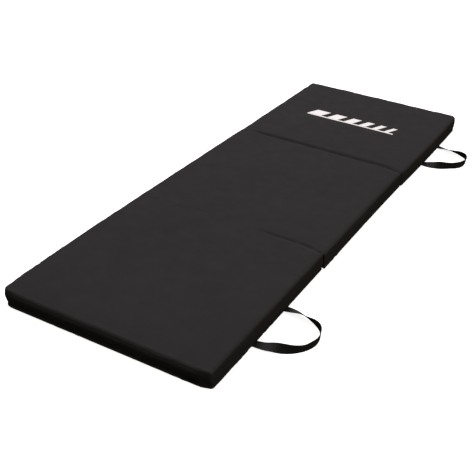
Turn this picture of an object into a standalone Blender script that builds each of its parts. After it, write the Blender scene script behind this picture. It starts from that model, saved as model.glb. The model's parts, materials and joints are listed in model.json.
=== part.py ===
"""A folding gym mat, in metres, +Z up.

Three foam panels lie end to end along Y, each in a sewn cover of coated fabric with a zip.
Fabric strips hinge them into a Z, on top at the near fold and underneath at the far one: the
middle panel turns up and over the near one, and the far panel turns down and under the middle
one, so that the stack has the printed side on top. Each end panel has a webbing carrying loop
on its +X side.
The origin is on the floor, under the centre of the middle panel.
"""

import math

import bmesh
import bpy
from mathutils import Matrix, Vector

# The mat
WIDTH = 0.600
THICKNESS = 0.050
NEAR_LENGTH = 0.600
MIDDLE_LENGTH = 0.610
FAR_LENGTH = 0.590
PANEL_GAP = 0.001
CORNER_RADIUS = 0.006
CORNER_STEPS = 4
SHARP_ANGLE = math.radians(35)

# The covers and the foam
FABRIC = 0.001
CLEARANCE = 0.0003
FOAM_INSET = 0.0035
FOAM_HEADROOM = 0.0006
FOAM_EDGE = 0.006
FOAM_EDGE_STEPS = 2

# The fabric hinges: each axis runs just outside the face that carries its strip
HINGE_STRIP = 0.024
HINGE_STANDOFF = 0.001

# The zips: HEIGHT is the coil's middle, BOXING_LAP how far the boxing wraps onto the zip's wall
ZIP_HEIGHT = 0.012
ZIP_SLOT = 0.010
ZIP_TAPE = 0.0006
COIL_WIDTH = 0.0012
COIL_DEPTH = 0.0016
COIL_GAP = 0.0008
COIL_EDGE = 0.0003
BOXING_LAP = 0.028

# The slider, measured from the cover's outer face, and the pull on its pin
SLIDER_LENGTH = 0.009
SLIDER_HEIGHT = 0.0074
PLATE = 0.001
FRONT_PLATE_OUT = 0.0014
BACK_PLATE_OUT = -0.0018
WEB = (0.0025, 0.0004)
LUG = (0.0024, 0.0030, 0.0008)
LUG_SPREAD = 0.0052
PIN_OUT = 0.0035
PIN_RADIUS = 0.0005
EYE_BORE = 0.00075
EYE_RADIUS = 0.0013
EYE_HEIGHT = 0.0038
TAB_LENGTH = 0.019
TAB_WIDTH = 0.0052
TAB_THICKNESS = 0.001
TAB_HOLE = (0.006, 0.0024)
TAB_HOLE_MARGIN = 0.0023
SLIDER_END_MARGIN = 0.038
ROUND_STEPS = 16

# The carrying loops: flat webbing, sewn in at both ends, that stands on its edge in between.
# SEAM_HEIGHT is the line they swing on; TWIST_IN and TWIST_OUT are the lengths of the two twists.
WEBBING_WIDTH = 0.026
WEBBING = 0.0016
HANDLE_CENTRES = {"near": -0.612, "far": 0.608}
SEAM_HEIGHT = 0.0024
TWIST_IN = 0.075
TWIST_OUT = 0.145
ROUTE_STEPS = 5
# The band's middle line, from the seam, out and back: distance from the mat, place along it
HANDLE_ROUTE = (
    (0.0015, -0.0900),
    (0.0080, -0.0902),
    (0.0330, -0.0930),
    (0.0620, -0.0905),
    (0.0900, -0.0795),
    (0.1110, -0.0620),
    (0.1260, -0.0370),
    (0.1310, -0.0060),
    (0.1210, 0.0270),
    (0.0970, 0.0510),
    (0.0660, 0.0650),
    (0.0330, 0.0720),
    (0.0080, 0.0770),
    (0.0015, 0.0775),
)

# The print on the far panel: slanted bars, each narrower than the last, standing on a line
PRINT_CENTRE = (-0.006, 0.606)
PRINT_SIZE = (0.336, 0.056)
PRINT_FILM = 0.0002
PRINT_GAP = 0.0001
PRINT_BARS = 6
PRINT_BAR_SHARE = 0.62
PRINT_LINE = 0.009
PRINT_SLANT = 0.020
PRINT_TAPER = 0.80

FOLD_NEAR = -MIDDLE_LENGTH / 2
FOLD_FAR = MIDDLE_LENGTH / 2
SPANS = {
    "near": (FOLD_NEAR - NEAR_LENGTH, FOLD_NEAR - PANEL_GAP / 2),
    "middle": (FOLD_NEAR + PANEL_GAP / 2, FOLD_FAR - PANEL_GAP / 2),
    "far": (FOLD_FAR + PANEL_GAP / 2, FOLD_FAR + FAR_LENGTH),
}
# Each panel's turn about Z, which brings the wall with its zip round from -Y
ZIP_TURN = {"near": 0.0, "middle": -math.pi / 2, "far": math.pi}
BOXING_LOW = FABRIC + CLEARANCE
BOXING_HIGH = THICKNESS - FABRIC - CLEARANCE

LOOKS = {
    "cover": ((0.031, 0.029, 0.030), 0.55, 0.0),
    "foam": ((0.30, 0.30, 0.32), 0.95, 0.0),
    "webbing": ((0.008, 0.008, 0.008), 0.80, 0.0),
    "tape": ((0.010, 0.010, 0.010), 0.85, 0.0),
    "coil": ((0.012, 0.012, 0.012), 0.45, 0.0),
    "metal": ((0.020, 0.020, 0.021), 0.35, 1.0),
    "print": ((0.85, 0.85, 0.84), 0.50, 0.0),
}


def clear_scene():
    for obj in list(bpy.data.objects):
        bpy.data.objects.remove(obj)


def new_collection(name):
    collection = bpy.data.collections.new(name)
    bpy.context.scene.collection.children.link(collection)
    return collection


def paint(obj, look):
    colour, roughness, metallic = LOOKS[look]
    material = bpy.data.materials.new(obj.name + "_" + look)
    material.use_nodes = True
    shader = material.node_tree.nodes["Principled BSDF"]
    shader.inputs["Base Color"].default_value = (*colour, 1.0)
    shader.inputs["Roughness"].default_value = roughness
    shader.inputs["Metallic"].default_value = metallic
    if obj.data.materials:
        obj.material_slots[0].link = "OBJECT"
        obj.material_slots[0].material = material
    else:
        obj.data.materials.append(material)


def place(name, data, look, pivot, location=(0, 0, 0), turn=0.0):
    """A piece in its place, carried by the empty on its body's joint axis."""
    obj = bpy.data.objects.new(name, data)
    bpy.data.collections["folding_gym_mat"].objects.link(obj)
    obj.location = location
    obj.rotation_euler = (0, 0, turn)
    obj.parent = pivot
    obj.matrix_parent_inverse = pivot.matrix_world.inverted()
    paint(obj, look)
    return obj


def pivot_at(name, location, parent=None):
    empty = bpy.data.objects.new(name, None)
    bpy.data.collections["folding_gym_mat"].objects.link(empty)
    empty.empty_display_size = 0.05
    empty.location = location
    if parent:
        empty.parent = parent
        empty.matrix_parent_inverse = parent.matrix_world.inverted()
    bpy.context.view_layer.update()
    return empty


def shade_rounded(mesh):
    """Smooth shading, with the real corners left sharp."""
    mesh.shade_smooth()
    mesh.set_sharp_from_angle(angle=SHARP_ANGLE)


def mesh_from(bm, name):
    mesh = bpy.data.meshes.new(name)
    bmesh.ops.recalc_face_normals(bm, faces=bm.faces)
    bm.to_mesh(mesh)
    bm.free()
    shade_rounded(mesh)
    return mesh


def block_bmesh(low, high):
    """A box between two corners."""
    bm = bmesh.new()
    bmesh.ops.create_cube(bm, size=1.0)
    low, high = Vector(low), Vector(high)
    bmesh.ops.scale(bm, vec=high - low, verts=bm.verts)
    bmesh.ops.translate(bm, vec=(low + high) / 2, verts=bm.verts)
    return bm


def block(name, low, high):
    return mesh_from(block_bmesh(low, high), name)


def upright_edges(bm, side):
    """The edges along Z at the low-Y end (side -1) or the high-Y end (side 1)."""
    return [
        edge
        for edge in bm.edges
        if abs((edge.verts[0].co - edge.verts[1].co).normalized().z) > 0.5
        and edge.verts[0].co.y * side > 0
    ]


def sheet(name, width, length, low_z, high_z, round_low, round_high):
    """A flat sheet of cover fabric about its centre, its corners rounded at either end."""
    bm = block_bmesh((-width / 2, -length / 2, low_z), (width / 2, length / 2, high_z))
    for side, rounded in ((-1, round_low), (1, round_high)):
        if rounded:
            bmesh.ops.bevel(
                bm,
                geom=upright_edges(bm, side),
                offset=CORNER_RADIUS,
                offset_type="OFFSET",
                segments=CORNER_STEPS,
                profile=0.5,
                affect="EDGES",
            )
    return mesh_from(bm, name)


def add_sheets(panel, pivot):
    """The cover's top and bottom. Each stops short of a fold where the hinge strip lies flush."""
    low, high = SPANS[panel]
    faces = {
        "cover_top": (THICKNESS - FABRIC, THICKNESS, FOLD_NEAR),
        "cover_bottom": (0.0, FABRIC, FOLD_FAR),
    }
    for face, (low_z, high_z, hinged_fold) in faces.items():
        start, end = low, high
        room = HINGE_STRIP / 2 + CLEARANCE
        if abs(low - hinged_fold) < PANEL_GAP:
            start = hinged_fold + room
        if abs(high - hinged_fold) < PANEL_GAP:
            end = hinged_fold - room
        name = f"{panel}_{face}"
        mesh = sheet(name, WIDTH, end - start, low_z, high_z, start == low, end == high)
        place(name, mesh, "cover", pivot, (0, (start + end) / 2, 0))


def add_foam(panel, pivot):
    low, high = SPANS[panel]
    half_width = WIDTH / 2 - FOAM_INSET
    half_length = (high - low) / 2 - FOAM_INSET
    half_height = THICKNESS / 2 - FABRIC - FOAM_HEADROOM
    name = f"{panel}_foam_core"
    mesh = block(
        name,
        (-half_width, -half_length, -half_height),
        (half_width, half_length, half_height),
    )
    core = place(name, mesh, "foam", pivot, (0, (low + high) / 2, THICKNESS / 2))
    edge = core.modifiers.new("soft_edges", "BEVEL")
    edge.width = FOAM_EDGE
    edge.segments = FOAM_EDGE_STEPS
    edge.limit_method = "ANGLE"


def arc(centre, start, end):
    """Points round a corner of the boxing, from one angle to the other."""
    angles = [
        start + (end - start) * step / CORNER_STEPS for step in range(CORNER_STEPS + 1)
    ]
    return [
        (
            centre[0] + CORNER_RADIUS * math.cos(angle),
            centre[1] + CORNER_RADIUS * math.sin(angle),
        )
        for angle in angles
    ]


def boxing_outline(half_u, half_v):
    """The boxing's outer line: round three sides, and a short way onto the zip's wall."""
    quarter = math.pi / 2
    inner_u, inner_v = half_u - CORNER_RADIUS, half_v - CORNER_RADIUS
    corners = ((1, -1), (1, 1), (-1, 1), (-1, -1))
    outline = [(half_u - BOXING_LAP, -half_v)]
    for number, (along, across) in enumerate(corners):
        start = (number - 1) * quarter
        outline += arc((along * inner_u, across * inner_v), start, start + quarter)
    outline.append((BOXING_LAP - half_u, -half_v))
    return outline


def add_boxing(panel, pivot, centre, half_u, half_v):
    """The side strip that joins top to bottom on the three sides without the zip."""
    bm = bmesh.new()
    foot = [bm.verts.new((u, v, BOXING_LOW)) for u, v in boxing_outline(half_u, half_v)]
    edges = [bm.edges.new(pair) for pair in zip(foot, foot[1:])]
    made = bmesh.ops.extrude_edge_only(bm, edges=edges)["geom"]
    risen = [item for item in made if isinstance(item, bmesh.types.BMVert)]
    bmesh.ops.translate(bm, vec=(0, 0, BOXING_HIGH - BOXING_LOW), verts=risen)
    name = f"{panel}_cover_boxing"
    mesh = mesh_from(bm, name)
    boxing = place(name, mesh, "cover", pivot, centre, ZIP_TURN[panel])
    wall = boxing.modifiers.new("fabric", "SOLIDIFY")
    wall.thickness = FABRIC
    outward = mesh.polygons[len(foot) // 2].normal
    middle = mesh.polygons[len(foot) // 2].center
    wall.offset = -1.0 if outward.dot(middle) > 0 else 1.0


def add_zip_strips(panel, pivot, wall, half_length):
    """The fourth side: fabric above and below the zip, the two tapes, and the coil's halves."""
    slot_low, slot_high = ZIP_HEIGHT - ZIP_SLOT / 2, ZIP_HEIGHT + ZIP_SLOT / 2
    coil_in, coil_out = COIL_GAP / 2, COIL_GAP / 2 + COIL_WIDTH
    tape_low = slot_low + CLEARANCE
    tape_high = slot_high - CLEARANCE
    coil_room = coil_out + CLEARANCE
    tape_depth = ((FABRIC + ZIP_TAPE) / 2, (FABRIC - ZIP_TAPE) / 2)
    coil_depth = ((FABRIC + COIL_DEPTH) / 2, (FABRIC - COIL_DEPTH) / 2)
    strips = {
        "zip_strip_lower": ("cover", (FABRIC, 0), (BOXING_LOW, slot_low)),
        "zip_strip_upper": ("cover", (FABRIC, 0), (slot_high, BOXING_HIGH)),
        "zip_tape_lower": ("tape", tape_depth, (tape_low, ZIP_HEIGHT - coil_room)),
        "zip_tape_upper": ("tape", tape_depth, (ZIP_HEIGHT + coil_room, tape_high)),
        "zip_coil_lower": ("coil", coil_depth, (ZIP_HEIGHT - coil_out, ZIP_HEIGHT - coil_in)),
        "zip_coil_upper": ("coil", coil_depth, (ZIP_HEIGHT + coil_in, ZIP_HEIGHT + coil_out)),
    }
    for piece, (look, (inner, outer), (low_z, high_z)) in strips.items():
        name = f"{panel}_{piece}"
        mesh = block(name, (-half_length, outer, low_z), (half_length, inner, high_z))
        strip = place(name, mesh, look, pivot, wall, ZIP_TURN[panel])
        if look == "coil":
            edge = strip.modifiers.new("round_teeth", "BEVEL")
            edge.width = COIL_EDGE
            edge.segments = 1


def helper(name, bm):
    """A shape that is joined to, or cut from, another, and isn't a piece itself."""
    obj = bpy.data.objects.new(name, mesh_from(bm, name))
    bpy.data.collections["helpers"].objects.link(obj)
    obj.hide_render = True
    obj.display_type = "WIRE"
    return obj


def rod(radius, height):
    """An upright cylinder about the origin."""
    bm = bmesh.new()
    bmesh.ops.create_cone(
        bm,
        cap_ends=True,
        segments=ROUND_STEPS,
        radius1=radius,
        radius2=radius,
        depth=height,
    )
    return bm


def combined(name, steps):
    """One mesh from (operation, shape) steps, the first of which is the body."""
    shapes = [
        helper(f"{name}_{number}", shape) for number, (_, shape) in enumerate(steps)
    ]
    body = shapes[0]
    for (operation, _), shape in zip(steps[1:], shapes[1:]):
        joining = body.modifiers.new(shape.name, "BOOLEAN")
        joining.operation = operation
        joining.object = shape
        joining.solver = "EXACT"
    bpy.context.view_layer.update()
    graph = bpy.context.evaluated_depsgraph_get()
    mesh = bpy.data.meshes.new_from_object(body.evaluated_get(graph))
    mesh.name = name
    shade_rounded(mesh)
    for shape in shapes:
        bpy.data.objects.remove(shape)
    return mesh


def slab_out(length, height, out, thickness):
    """A plate parallel to the zip's wall, its middle plane that far outside the cover."""
    return block_bmesh(
        (-length / 2, -out - thickness / 2, -height / 2),
        (length / 2, -out + thickness / 2, height / 2),
    )


def slider_mesh():
    """Front and back plates, the web between them, and two lugs with the pull's pin."""
    web_span = FRONT_PLATE_OUT - BACK_PLATE_OUT
    web_out = (FRONT_PLATE_OUT + BACK_PLATE_OUT) / 2
    steps = [
        ("BODY", slab_out(SLIDER_LENGTH, SLIDER_HEIGHT, FRONT_PLATE_OUT, PLATE)),
        ("UNION", slab_out(SLIDER_LENGTH, SLIDER_HEIGHT, BACK_PLATE_OUT, PLATE)),
        ("UNION", slab_out(WEB[0], WEB[1], web_out, web_span)),
    ]
    lug_length, lug_depth, lug_height = LUG
    for side in (-1, 1):
        lug = slab_out(lug_length, lug_height, FRONT_PLATE_OUT + lug_depth / 2, lug_depth)
        bmesh.ops.translate(lug, vec=(0, 0, side * LUG_SPREAD / 2), verts=lug.verts)
        steps.append(("UNION", lug))
    pin = rod(PIN_RADIUS, LUG_SPREAD)
    bmesh.ops.translate(pin, vec=(0, -PIN_OUT, 0), verts=pin.verts)
    steps.append(("UNION", pin))
    return combined("zip_slider", steps)


def pull_mesh():
    """An eye round the slider's pin, and a tab that lies back along the zip."""
    lug_length = LUG[0]
    tab = block_bmesh(
        (-EYE_RADIUS - TAB_LENGTH, -TAB_THICKNESS / 2, -TAB_WIDTH / 2),
        (-lug_length, TAB_THICKNESS / 2, TAB_WIDTH / 2),
    )
    neck = block_bmesh(
        (-2 * lug_length, -TAB_THICKNESS / 2, -EYE_HEIGHT / 2),
        (-EYE_BORE, TAB_THICKNESS / 2, EYE_HEIGHT / 2),
    )
    hole_length, hole_width = TAB_HOLE
    hole_end = TAB_HOLE_MARGIN - EYE_RADIUS - TAB_LENGTH
    hole = block_bmesh(
        (hole_end, -TAB_THICKNESS, -hole_width / 2),
        (hole_end + hole_length, TAB_THICKNESS, hole_width / 2),
    )
    bore = rod(EYE_BORE, 2 * EYE_HEIGHT)
    steps = [
        ("BODY", rod(EYE_RADIUS, EYE_HEIGHT)),
        ("UNION", neck),
        ("UNION", tab),
        ("DIFFERENCE", hole),
        ("DIFFERENCE", bore),
    ]
    return combined("zip_pull", steps)


def add_panel(panel, pivot, slider, pull):
    low, high = SPANS[panel]
    centre = (0, (low + high) / 2, 0)
    halves = (WIDTH / 2, (high - low) / 2)
    half_u, half_v = halves if panel != "middle" else halves[::-1]
    turn = ZIP_TURN[panel]
    outward = Matrix.Rotation(turn, 3, "Z") @ Vector((0, -1, 0))
    along = Matrix.Rotation(turn, 3, "Z") @ Vector((1, 0, 0))
    wall = Vector(centre) + outward * half_v
    add_sheets(panel, pivot)
    add_foam(panel, pivot)
    add_boxing(panel, pivot, centre, half_u, half_v)
    add_zip_strips(panel, pivot, wall, half_u - BOXING_LAP - CLEARANCE)
    parked = wall + along * (half_u - SLIDER_END_MARGIN) + Vector((0, 0, ZIP_HEIGHT))
    pin = parked + outward * PIN_OUT
    slide = pivot_at(f"{panel}_zip_slide", parked, pivot)
    flip = pivot_at(f"{panel}_zip_pull_flip", pin, slide)
    place(f"{panel}_zip_slider", slider, "metal", slide, parked, turn)
    place(f"{panel}_zip_pull", pull, "metal", flip, pin, turn)


def add_hinge_strip(name, fold, low_z, pivot):
    half = HINGE_STRIP / 2
    mesh = block(name, (-WIDTH / 2, -half, low_z), (WIDTH / 2, half, low_z + FABRIC))
    place(name, mesh, "cover", pivot, (0, fold, 0))


def smooth_route(points):
    """A Catmull-Rom curve through the points, whose ends carry straight on."""
    points = [Vector(point) for point in points]
    ends = (2 * points[0] - points[1], 2 * points[-1] - points[-2])
    padded = [ends[0], *points, ends[1]]
    route = []
    for a, b, c, d in zip(padded, padded[1:], padded[2:], padded[3:]):
        for step in range(ROUTE_STEPS):
            t = step / ROUTE_STEPS
            straight = 2 * b + (c - a) * t
            bend = (2 * a - 5 * b + 4 * c - d) * t**2 + (3 * b - a - 3 * c + d) * t**3
            route.append((straight + bend) / 2)
    return [*route, points[-1]]


def handle_curve():
    """The webbing as a band swept along its route: flat where it is sewn in, upright between."""
    route = smooth_route(HANDLE_ROUTE)
    travelled = [0.0]
    for before, after in zip(route, route[1:]):
        travelled.append(travelled[-1] + (after - before).length)
    profile = bpy.data.curves.new("webbing_section", "CURVE")
    profile.resolution_u = 1
    section = profile.splines.new("BEZIER")
    section.bezier_points.add(3)
    section.use_cyclic_u = True
    corners = ((1, -1), (-1, -1), (-1, 1), (1, 1))
    for point, (across, through) in zip(section.bezier_points, corners):
        point.co = (across * WEBBING_WIDTH / 2, through * WEBBING / 2, 0)
        point.handle_left_type = "VECTOR"
        point.handle_right_type = "VECTOR"
    guide = bpy.data.objects.new("webbing_section", profile)
    bpy.data.collections["helpers"].objects.link(guide)
    guide.hide_render = True
    curve = bpy.data.curves.new("carrying_loop", "CURVE")
    curve.dimensions = "3D"
    curve.twist_mode = "Z_UP"
    curve.bevel_mode = "OBJECT"
    curve.bevel_object = guide
    curve.use_fill_caps = True
    spline = curve.splines.new("POLY")
    spline.points.add(len(route) - 1)
    for point, place_on, reached in zip(spline.points, route, travelled):
        left = travelled[-1] - reached
        lean = min(reached / TWIST_IN, 1.0, left / TWIST_OUT) * math.pi / 2
        height = (WEBBING_WIDTH * math.sin(lean) + WEBBING * math.cos(lean)) / 2
        point.co = (place_on.x, place_on.y, height + WEBBING / 2, 1)
        point.tilt = lean
    return curve


def add_print(pivot):
    """One piece of white film: a thin line with slanted bars on it, like a comb."""
    length, depth = PRINT_SIZE
    low_z = THICKNESS + PRINT_GAP
    high_z = low_z + PRINT_FILM
    widths = [PRINT_TAPER**number for number in range(PRINT_BARS)]
    room = length - PRINT_SLANT
    bar_unit = room * PRINT_BAR_SHARE / sum(widths)
    space = room * (1 - PRINT_BAR_SHARE) / (PRINT_BARS - 1)
    outline = [(-length / 2, -depth / 2), (length / 2, -depth / 2)]
    outline.append((length / 2, -depth / 2 + PRINT_LINE))
    right = length / 2 - PRINT_SLANT
    for width in reversed(widths):
        left = right - width * bar_unit
        outline += [
            (right, -depth / 2 + PRINT_LINE),
            (right + PRINT_SLANT, depth / 2),
            (left + PRINT_SLANT, depth / 2),
            (left, -depth / 2 + PRINT_LINE),
        ]
        right = left - space
    bm = bmesh.new()
    rim = [bm.verts.new((x, y, low_z)) for x, y in outline]
    face = bm.faces.new(rim)
    top = bmesh.ops.extrude_face_region(bm, geom=[face])["geom"]
    risen = [item for item in top if isinstance(item, bmesh.types.BMVert)]
    bmesh.ops.translate(bm, vec=(0, 0, high_z - low_z), verts=risen)
    mesh = mesh_from(bm, "far_panel_print")
    place("far_panel_print", mesh, "print", pivot, (*PRINT_CENTRE, 0))


def build():
    clear_scene()
    new_collection("folding_gym_mat")
    new_collection("helpers")
    near = pivot_at("near_panel", (0, 0, 0))
    middle = pivot_at("near_fold", (0, FOLD_NEAR, THICKNESS + HINGE_STANDOFF), near)
    far = pivot_at("far_fold", (0, FOLD_FAR, -HINGE_STANDOFF), middle)
    pivots = {"near": near, "middle": middle, "far": far}
    slider, pull = slider_mesh(), pull_mesh()
    for panel, pivot in pivots.items():
        add_panel(panel, pivot, slider, pull)
    add_hinge_strip("near_hinge_strip", FOLD_NEAR, THICKNESS - FABRIC, near)
    add_hinge_strip("far_hinge_strip", FOLD_FAR, 0.0, middle)
    loop = handle_curve()
    for panel, along in HANDLE_CENTRES.items():
        seam = (WIDTH / 2 + CLEARANCE, along, SEAM_HEIGHT)
        swing = pivot_at(f"{panel}_handle_swing", seam, pivots[panel])
        place(f"{panel}_handle", loop, "webbing", swing, (seam[0], seam[1], 0))
    add_print(far)


build()
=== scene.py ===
"""The looks of the folding gym mat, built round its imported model. Metres, +Z up.

X runs across the mat to the side with the carrying loops, and Y along it from the near panel to
the printed far panel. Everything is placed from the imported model's own boxes and joints.
"""

import json
import math

import bpy
import numpy as np
from mathutils import Matrix, Vector
from mathutils.bvhtree import BVHTree

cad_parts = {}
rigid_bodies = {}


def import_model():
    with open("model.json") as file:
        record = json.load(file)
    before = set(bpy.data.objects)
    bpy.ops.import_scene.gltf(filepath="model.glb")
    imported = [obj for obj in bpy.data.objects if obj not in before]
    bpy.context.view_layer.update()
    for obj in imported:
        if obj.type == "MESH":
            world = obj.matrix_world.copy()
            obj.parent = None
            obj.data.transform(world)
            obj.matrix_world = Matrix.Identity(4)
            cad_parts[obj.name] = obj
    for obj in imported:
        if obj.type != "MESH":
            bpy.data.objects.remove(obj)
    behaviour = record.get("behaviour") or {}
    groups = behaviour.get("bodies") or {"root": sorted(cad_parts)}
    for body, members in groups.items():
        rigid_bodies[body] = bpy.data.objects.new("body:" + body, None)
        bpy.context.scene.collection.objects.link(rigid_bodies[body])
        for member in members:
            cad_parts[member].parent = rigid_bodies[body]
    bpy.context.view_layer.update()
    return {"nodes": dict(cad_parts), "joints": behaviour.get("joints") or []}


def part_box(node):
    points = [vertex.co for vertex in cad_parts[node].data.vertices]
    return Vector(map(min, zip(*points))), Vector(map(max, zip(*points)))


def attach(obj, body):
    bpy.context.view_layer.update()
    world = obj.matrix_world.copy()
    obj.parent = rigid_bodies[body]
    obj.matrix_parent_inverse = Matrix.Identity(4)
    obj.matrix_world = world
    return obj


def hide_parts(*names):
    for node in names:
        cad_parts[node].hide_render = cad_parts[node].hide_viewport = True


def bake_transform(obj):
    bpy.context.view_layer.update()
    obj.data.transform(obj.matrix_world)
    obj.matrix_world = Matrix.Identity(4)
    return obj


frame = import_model()
MM = 0.001
JOINTS = {joint["name"]: joint for joint in frame["joints"]}

# The camera, in degrees and metres: where it aims, and how far back it stands
CAMERA_TARGET = (0.0144, -0.2832, 0.0)
CAMERA_AZIMUTH = 27.82
CAMERA_ELEVATION = 30.16
CAMERA_ROLL = 3.46
CAMERA_DISTANCE = 2.475
CAMERA_LENS = 65.50

# Which wall of each panel has the zip, as a turn about Z from the wall that faces -Y
ZIP_TURN = {"near": 0.0, "middle": -math.pi / 2, "far": math.pi}
# The folds at each panel's low-Y and high-Y end
FOLDS = {
    "near": (None, "near_fold"),
    "middle": ("near_fold", "far_fold"),
    "far": ("far_fold", None),
}
# How round the upright corners are: low-X low-Y, high-X low-Y, low-X high-Y, high-X high-Y
CORNERS = {
    "near": (17 * MM, 6 * MM, 5 * MM, 5 * MM),
    "middle": (5 * MM, 5 * MM, 7 * MM, 7 * MM),
    "far": (7 * MM, 7 * MM, 10 * MM, 20 * MM),
}
# How far the left and right sides stand out at their low-Y end, middle and high-Y end
BOWS = {
    "near": ((-4.5 * MM, 1 * MM, 3 * MM), (3 * MM, 0, -3 * MM)),
    "middle": ((2.5 * MM, 1 * MM, 0.5 * MM), (1.5 * MM, -2 * MM, -2.5 * MM)),
    "far": ((-1.5 * MM, -1 * MM, 0), (0, 3 * MM, 0)),
}
# Lower corners drawn in under the panel: which end in X and in Y, and how far in X and in Y
CORNER_TUCKS = {
    "near": ((0, 0, 4 * MM, 4 * MM), (1, 0, 0, 8 * MM)),
    "middle": (),
    "far": ((0, 1, 3 * MM, 3 * MM), (1, 1, 3 * MM, 3 * MM)),
}
# How far apart the lines of a cover's mesh are
GRID = 4.5 * MM

# How far in and how far down each upper edge rolls over, and how far in and up each lower one
LEFT_EDGE = (6 * MM, 5 * MM)
RIGHT_EDGE = (14 * MM, 7 * MM)
NEAR_EDGE = (5 * MM, 7 * MM)
FAR_EDGE = (5 * MM, 4 * MM)
OPEN_FOLD_EDGE = (0.9 * MM, 0.9 * MM)
HINGED_FOLD_EDGE = (1.2 * MM, 1.2 * MM)
CLOSED_FOLD_EDGE = (0.9 * MM, 0.6 * MM)
BOTTOM_EDGE = (2 * MM, 2 * MM)
OPEN_BOTTOM_EDGE = (8 * MM, 8 * MM)
HINGED_BOTTOM_EDGE = (2.5 * MM, 2 * MM)
# The soft furrow along each fold: how deep, how wide on its near and far sides, and how far past
# the hinge it lies
FURROWS = {
    "near_fold": (2.8 * MM, 9 * MM, 6.5 * MM, 13 * MM),
    "far_fold": (5.2 * MM, 15 * MM, 8 * MM, 15 * MM),
}
# The lip on a furrow's near side: how high and wide, and how far before the furrow
LIP = (0.7 * MM, 7 * MM, 15 * MM)
# The seams' places below the top and above the bottom, and the depth of the zip's slot
SEAM_DROP = 6.5 * MM
SEAM_RISE = 4.0 * MM
TROUGH_DEPTH = 3.2 * MM

# The cover's relief. How high the gathers along a seam stand, and how far in they run
GATHER_HEIGHT = 0.30 * MM
GATHER_REACH = 15 * MM
# How high the slack of the cloth stands, and how high the top is crowned over its first stretch in
SLACK_HEIGHT = 0.12 * MM
CROWN_HEIGHT = 0.8 * MM
CROWN_REACH = 80 * MM
# How far the sides belly out between their seams, and how much that varies
BELLY = 1.3 * MM
BELLY_SWAY = 0.45 * MM
# How far the near end's wall puffs out: at what level, how widely, and its run-in from the corners
PUFF = 6.5 * MM
PUFF_LEVEL = 38 * MM
PUFF_WIDTH = 12 * MM
PUFF_RUN_IN = 55 * MM
# The welt round the bottom: how far it stands out, and how high it is
WELT = (2.2 * MM, 4 * MM)
# How far the upper edge wanders up and down
EDGE_WANDER = 0.55 * MM
# How much lower the near panel's free end lies, and over what length
END_SAG = (2 * MM, 28 * MM)
# How far the drawn-in corners reach, and the room between the foam and its cover
TUCK_REACH = 18 * MM
FOAM_ROOM = 5 * MM

# The hinge fabrics: half the free width, the thickness, and how far in each lies
HINGE_HALF_STRIP = 8 * MM
HINGE_THICKNESS = 0.8 * MM
HINGE_TOP_DROP = 0.5 * MM
HINGE_BOTTOM_RISE = 0.7 * MM

# The carrying loops, at stations from the seam out and back to it: how far out from the panel,
# how far along from the loop's middle, how high the band's centre line is, and its lean from
# flat (0) to on edge (90). Millimetres and degrees.
HANDLE_STATIONS = {
    "near": (
        (-2, -92, 2.4, 0),
        (27, -92, 6, 12),
        (51, -89, 11, 32),
        (74, -84, 13, 65),
        (97, -74, 14, 90),
        (114, -57, 13, 101),
        (124, -35, 13, 97),
        (129, -11, 13, 97),
        (126, 13, 13, 94),
        (115, 36, 14, 88),
        (96, 52, 13, 74),
        (74, 62, 11, 53),
        (50, 70, 10, 36),
        (26, 75, 7, 14),
        (-2, 78, 2.4, 0),
    ),
    "far": (
        (-2, -94, 2.4, 0),
        (27, -96, 6, 26),
        (52, -95, 11, 48),
        (75, -89, 13, 85),
        (97, -78, 14, 100),
        (114, -60, 14, 96),
        (125, -39, 14, 95),
        (129, -15, 14, 101),
        (125, 9, 15, 90),
        (113, 30, 14, 75),
        (94, 45, 12, 61),
        (72, 55, 9, 41),
        (49, 63, 6, 26),
        (26, 71, 4, 14),
        (-2, 76, 2.4, 0),
    ),
}
WEBBING_WIDTH = 25.5 * MM
WEBBING_THICKNESS = 1.5 * MM

# The print: slanted bars, each narrower than the last, on a line
PRINT_BARS = 6
PRINT_BAR_SHARE = 0.62
PRINT_TAPER = 0.80
PRINT_SLANT = 20 * MM
PRINT_LINE = 9 * MM
PRINT_GRID = 3 * MM

# The zips
TOOTH_PITCH = 1.5 * MM
TOOTH_SIZE = (1.9 * MM, 1.05 * MM, 1.5 * MM)
END_STOP_SIZE = (3.4 * MM, 1.7 * MM, 4.6 * MM)
STITCH_PITCH = 3.2 * MM
STITCH_SIZE = (2.5 * MM, 0.55 * MM, 0.5 * MM)
METAL_EDGE = 0.15 * MM

# The lamps: place, size, power and colour. Both aim at the middle of the mat
LAMPS = {
    "behind": ((-9.0, 14.8, 19.2), (12.0, 12.0), 5350, (1.0, 0.95, 1.06)),
    "side": ((5.5, -0.3, 1.2), (2.0, 1.5), 47, (1.0, 0.90, 0.76)),
}
# The studio's own light: below and above the horizon, and how strong
SKY_COLOURS = ((0.02, 0.02, 0.02, 1), (0.75, 0.67, 0.55, 1))
SKY_STRENGTH = 0.5


# ---------------------------------------------------------------------------------------------
# Shapes
# ---------------------------------------------------------------------------------------------


def mesh_object(name, points, faces, material):
    """A smooth-shaded piece from its points and faces."""
    mesh = bpy.data.meshes.new(name)
    faces = faces if isinstance(faces, list) else faces.tolist()
    mesh.from_pydata(np.asarray(points).tolist(), [], faces)
    mesh.shade_smooth()
    mesh.materials.append(material)
    obj = bpy.data.objects.new(name, mesh)
    bpy.context.scene.collection.objects.link(obj)
    return obj


def store(obj, name, values):
    """Keeps a vector for each point of a piece, for its material to read."""
    attribute = obj.data.attributes.new(name, "FLOAT_VECTOR", "POINT")
    attribute.data.foreach_set("vector", np.asarray(values, np.float32).ravel())


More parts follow.
